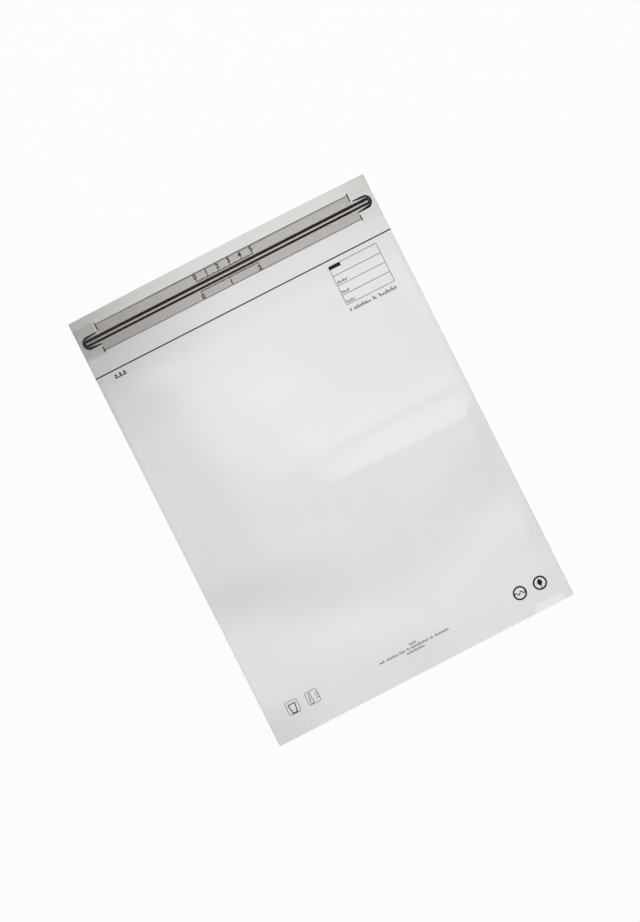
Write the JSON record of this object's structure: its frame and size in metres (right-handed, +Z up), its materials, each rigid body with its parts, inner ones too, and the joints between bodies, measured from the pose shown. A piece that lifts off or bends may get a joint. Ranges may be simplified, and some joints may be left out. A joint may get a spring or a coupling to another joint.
{
  "type": "zipper bag",
  "caption": "Flat empty storage bag of hazy film with a double-track press zip, crushed end seals, a fill line and small printed marks.",
  "frame": {"origin": "middle of the bag's width and length, on the back film's underside", "axes": "+X across the bag, +Y from the bottom weld to the mouth, +Z up through the layers of film"},
  "size_m": [0.265, 0.377, 0.0025],
  "materials": {
    "film": "hazy translucent film with a soft gloss",
    "zip_tape": "smoke-brown translucent tape, darker where the tracks are",
    "end_seal": "dark fused plastic with a soft gloss",
    "ink": "thin black print"
  },
  "bodies": {
    "root": {"back_film": "film", "front_film": "film", "back_zip_strip": "zip_tape", "front_zip_strip": "zip_tape", "left_end_seal": "end_seal", "right_end_seal": "end_seal", "fill_line": "ink", "fill_arrows": "ink", "ruler_centimetres": "ink", "ruler_inches": "ink", "writing_panel": "ink", "panel_caption": "ink", "cup_mark": "ink", "thermometer_mark": "ink", "wave_mark": "ink", "leaf_mark": "ink", "footer_upper": "ink", "footer_middle": "ink", "footer_lower": "ink"}
  },
  "joints": []
}
